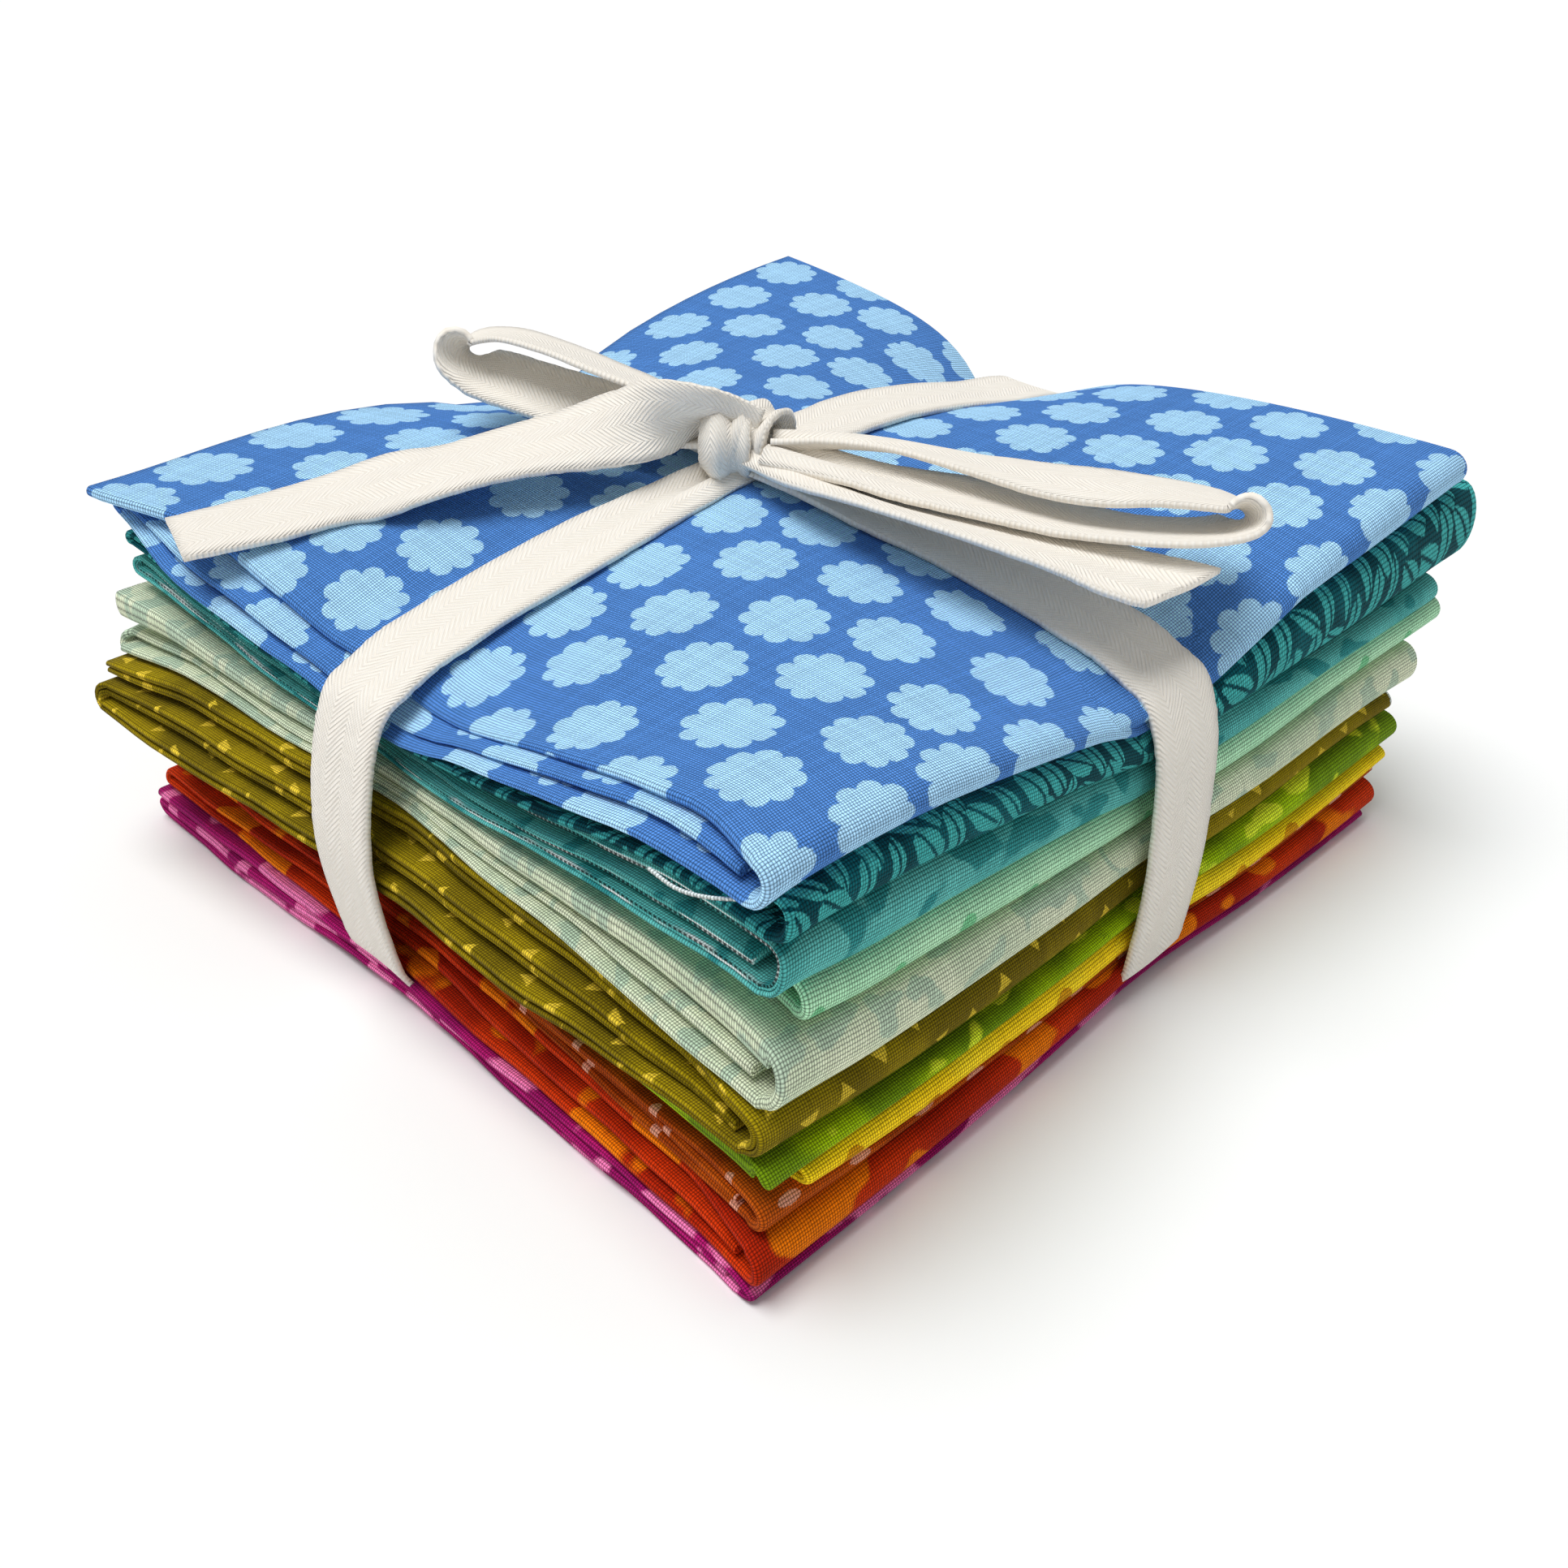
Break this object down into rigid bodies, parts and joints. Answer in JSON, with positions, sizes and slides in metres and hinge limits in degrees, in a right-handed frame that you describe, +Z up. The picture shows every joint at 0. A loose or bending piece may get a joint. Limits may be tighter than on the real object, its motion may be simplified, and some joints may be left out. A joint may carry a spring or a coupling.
{
  "type": "fat quarter bundle",
  "caption": "Folded fat quarters of printed quilting cotton stacked in a square bundle, tied crosswise with cotton tape in a bow with two free tails",
  "frame": {"origin": "on the ground, under the middle of the stack, on the flat underside of the tie's crossing", "axes": "+Z up through the stack. The smooth rolled folds face -Y and +Y, the layered cut ends face -X and +X"},
  "size_m": [0.1547, 0.1426, 0.0737],
  "materials": {
    "cotton_magenta": "plain-woven quilting cotton, magenta and pink print",
    "cotton_red_orange": "plain-woven quilting cotton, red-orange print",
    "cotton_orange_brown": "plain-woven quilting cotton, orange-brown print with pale pink specks",
    "cotton_yellow": "plain-woven quilting cotton, yellow print with ochre dots",
    "cotton_lime": "plain-woven quilting cotton, lime print",
    "cotton_olive": "plain-woven quilting cotton, olive print with mustard flecks",
    "cotton_sage": "plain-woven quilting cotton, pale sage print",
    "cotton_mint": "plain-woven quilting cotton, mint print",
    "cotton_mid_teal": "plain-woven quilting cotton, mid teal print",
    "cotton_deep_teal": "plain-woven quilting cotton, deep teal print with leaf strokes",
    "cotton_blue": "plain-woven quilting cotton, blue with pale blue blossoms",
    "cotton_tape": "herringbone cotton twill tape, natural cream"
  },
  "bodies": {
    "root": {"fat_quarter_magenta": "cotton_magenta", "fat_quarter_red_orange": "cotton_red_orange", "fat_quarter_orange_brown": "cotton_orange_brown", "fat_quarter_yellow": "cotton_yellow", "fat_quarter_lime": "cotton_lime", "fat_quarter_olive": "cotton_olive", "fat_quarter_sage": "cotton_sage", "fat_quarter_mint": "cotton_mint", "fat_quarter_mid_teal": "cotton_mid_teal", "fat_quarter_deep_teal": "cotton_deep_teal", "fat_quarter_blue": "cotton_blue", "tie_tape": "cotton_tape"}
  },
  "joints": []
}
